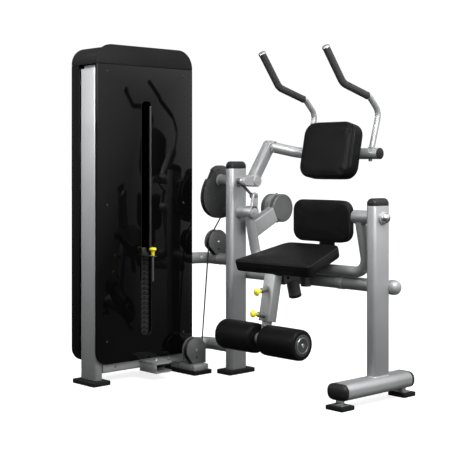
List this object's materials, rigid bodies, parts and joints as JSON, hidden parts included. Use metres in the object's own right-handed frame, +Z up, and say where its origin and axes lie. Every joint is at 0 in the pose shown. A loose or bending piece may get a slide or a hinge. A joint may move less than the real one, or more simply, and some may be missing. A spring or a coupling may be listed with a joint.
{
  "type": "ab crunch machine",
  "caption": "Seated abdominal crunch machine: a weight tower and two-post frame, a crunch arm with back pad and handles, and a swinging seat yoke with leg rollers.",
  "frame": {"origin": "floor level, under the middle of the machine's bounding box", "axes": "+Z up; the user sits facing -Y; the weight tower stands at -X"},
  "size_m": [1.29, 1.026, 1.52],
  "materials": {
    "silver_paint": "satin silver powder coat",
    "grey_paint": "satin grey powder coat",
    "panel_gloss": "high gloss",
    "black_plastic": "fine matt texture",
    "rubber": "matt",
    "vinyl": "fine-grained vinyl over foam",
    "grip_rubber": "soft matt grip",
    "chrome": "polished",
    "steel": "turned",
    "cast": "black, slightly rough",
    "yellow": "gloss"
  },
  "bodies": {
    "root": {"inner_panel": "panel_gloss", "outer_shroud": "panel_gloss", "top_cap": "black_plastic", "tower_front_post": "silver_paint", "tower_rear_post": "silver_paint", "base_beam": "silver_paint", "top_crosshead": "silver_paint", "tower_front_foot": "rubber", "tower_rear_foot": "rubber", "weight_stack": "cast", "guide_rod_front": "chrome", "guide_rod_rear": "chrome", "lower_pulley_housing": "grey_paint", "upper_pulley_housing": "grey_paint", "side_pulley_bracket": "grey_paint", "left_post": "silver_paint", "left_post_cap": "black_plastic", "left_post_foot": "rubber", "right_post": "silver_paint", "right_post_cap": "black_plastic", "foot_beam": "silver_paint", "foot_beam_front_cap": "black_plastic", "foot_beam_rear_cap": "black_plastic", "front_leveller": "rubber", "rear_leveller": "rubber", "upper_link_tube": "silver_paint", "lower_link_tube": "silver_paint", "cross_tube": "silver_paint", "cable": "steel"},
    "head": {"head_plate": "cast", "cable_drop": "steel"},
    "selector": {"selector_pin": "yellow"},
    "upper_pulley": {"upper_pulley": "black_plastic"},
    "lower_pulley": {"lower_pulley": "black_plastic"},
    "side_pulley": {"side_pulley": "black_plastic"},
    "tower_pulley": {"tower_pulley": "black_plastic"},
    "top_pulley": {"top_pulley": "black_plastic"},
    "arm": {"cam": "grey_paint", "cam_cable": "steel", "arm_frame": "silver_paint", "left_handle": "silver_paint", "left_grip": "grip_rubber", "right_handle": "silver_paint", "right_grip": "grip_rubber", "back_pad": "vinyl", "back_pad_plate": "grey_paint"},
    "link": {"link_rod": "steel"},
    "yoke": {"yoke_frame": "silver_paint", "counterweight": "grey_paint", "seat_carrier": "grey_paint", "lumbar_pad": "vinyl", "lumbar_bracket": "grey_paint", "leg_tube": "silver_paint"},
    "seat": {"seat_post": "steel", "seat_pad": "vinyl"},
    "leg": {"leg_bar": "silver_paint"},
    "left_roller": {"left_roller": "vinyl"},
    "right_roller": {"right_roller": "vinyl"},
    "upper_pop_pin": {"upper_pop_pin": "yellow"},
    "lower_pop_pin": {"lower_pop_pin": "yellow"}
  },
  "joints": [
    {"name": "arm_crunch", "type": "hinge", "parent": "root", "child": "arm", "pos_m": [0, 0.19545, 0.905], "axis": [1, 0, 0], "range_deg": [0, 45]},
    {"name": "yoke_swing", "type": "hinge", "parent": "root", "child": "yoke", "pos_m": [0, 0.19545, 0.76], "axis": [1, 0, 0], "range_deg": [-34, 0]},
    {"name": "link_turn", "type": "hinge", "parent": "yoke", "child": "link", "pos_m": [-0.166, 0.20545, 0.836], "axis": [1, 0, 0], "range_deg": [0, 56]},
    {"name": "weight_lift", "type": "slide", "parent": "root", "child": "head", "axis": [0, 0, 1], "range_m": [0, 0.092], "deforming": ["cable_drop"]},
    {"name": "selector_lift", "type": "slide", "parent": "head", "child": "selector", "axis": [0, 0, 1], "range_m": [0, 0.13]},
    {"name": "upper_pulley_turn", "type": "hinge", "parent": "root", "child": "upper_pulley", "pos_m": [-0.385, 0.17545, 0.611], "axis": [1, 0, 0], "range_deg": [-115, 0]},
    {"name": "lower_pulley_turn", "type": "hinge", "parent": "root", "child": "lower_pulley", "pos_m": [-0.385, 0.03545, 0.111], "axis": [1, 0, 0], "range_deg": [0, 110]},
    {"name": "side_pulley_turn", "type": "hinge", "parent": "root", "child": "side_pulley", "pos_m": [-0.419, -0.16655, 0.063], "axis": [0, 0, 1], "range_deg": [0, 155]},
    {"name": "tower_pulley_turn", "type": "hinge", "parent": "root", "child": "tower_pulley", "pos_m": [-0.561, -0.20155, 0.103], "axis": [0, 1, 0], "range_deg": [-132, 0]},
    {"name": "top_pulley_turn", "type": "hinge", "parent": "root", "child": "top_pulley", "pos_m": [-0.561, -0.20155, 1.43], "axis": [0, 1, 0], "range_deg": [-132, 0]},
    {"name": "seat_height", "type": "slide", "parent": "yoke", "child": "seat", "axis": [0, -0.2504, 0.9681], "range_m": [0, 0.09]},
    {"name": "leg_length", "type": "slide", "parent": "yoke", "child": "leg", "axis": [0, -0.1908, -0.9816], "range_m": [0, 0.05]},
    {"name": "left_roller_spin", "type": "hinge", "parent": "leg", "child": "left_roller", "pos_m": [0.167, -0.06255, 0.235], "axis": [1, 0, 0], "continuous": true},
    {"name": "right_roller_spin", "type": "hinge", "parent": "leg", "child": "right_roller", "pos_m": [0.167, -0.06255, 0.235], "axis": [1, 0, 0], "continuous": true},
    {"name": "upper_pop_pin_pull", "type": "slide", "parent": "yoke", "child": "upper_pop_pin", "axis": [0, -0.9875, -0.1574], "range_m": [0, 0.008], "stiffness_N_per_m": 600, "springref_m": -0.001},
    {"name": "lower_pop_pin_pull", "type": "slide", "parent": "yoke", "child": "lower_pop_pin", "axis": [0, -0.9816, 0.1908], "range_m": [0, 0.008], "stiffness_N_per_m": 600, "springref_m": -0.001}
  ],
  "couplings": [
    {"joint": "yoke_swing", "follows": "arm_crunch", "ratio": -0.75},
    {"joint": "link_turn", "follows": "arm_crunch", "ratio": 1.22},
    {"joint": "weight_lift", "follows": "arm_crunch", "m_per_rad": 0.116},
    {"joint": "upper_pulley_turn", "follows": "arm_crunch", "ratio": -2.5217},
    {"joint": "lower_pulley_turn", "follows": "arm_crunch", "ratio": 2.4167},
    {"joint": "side_pulley_turn", "follows": "arm_crunch", "ratio": 3.4118},
    {"joint": "tower_pulley_turn", "follows": "arm_crunch", "ratio": -2.9},
    {"joint": "top_pulley_turn", "follows": "arm_crunch", "ratio": -2.9}
  ]
}
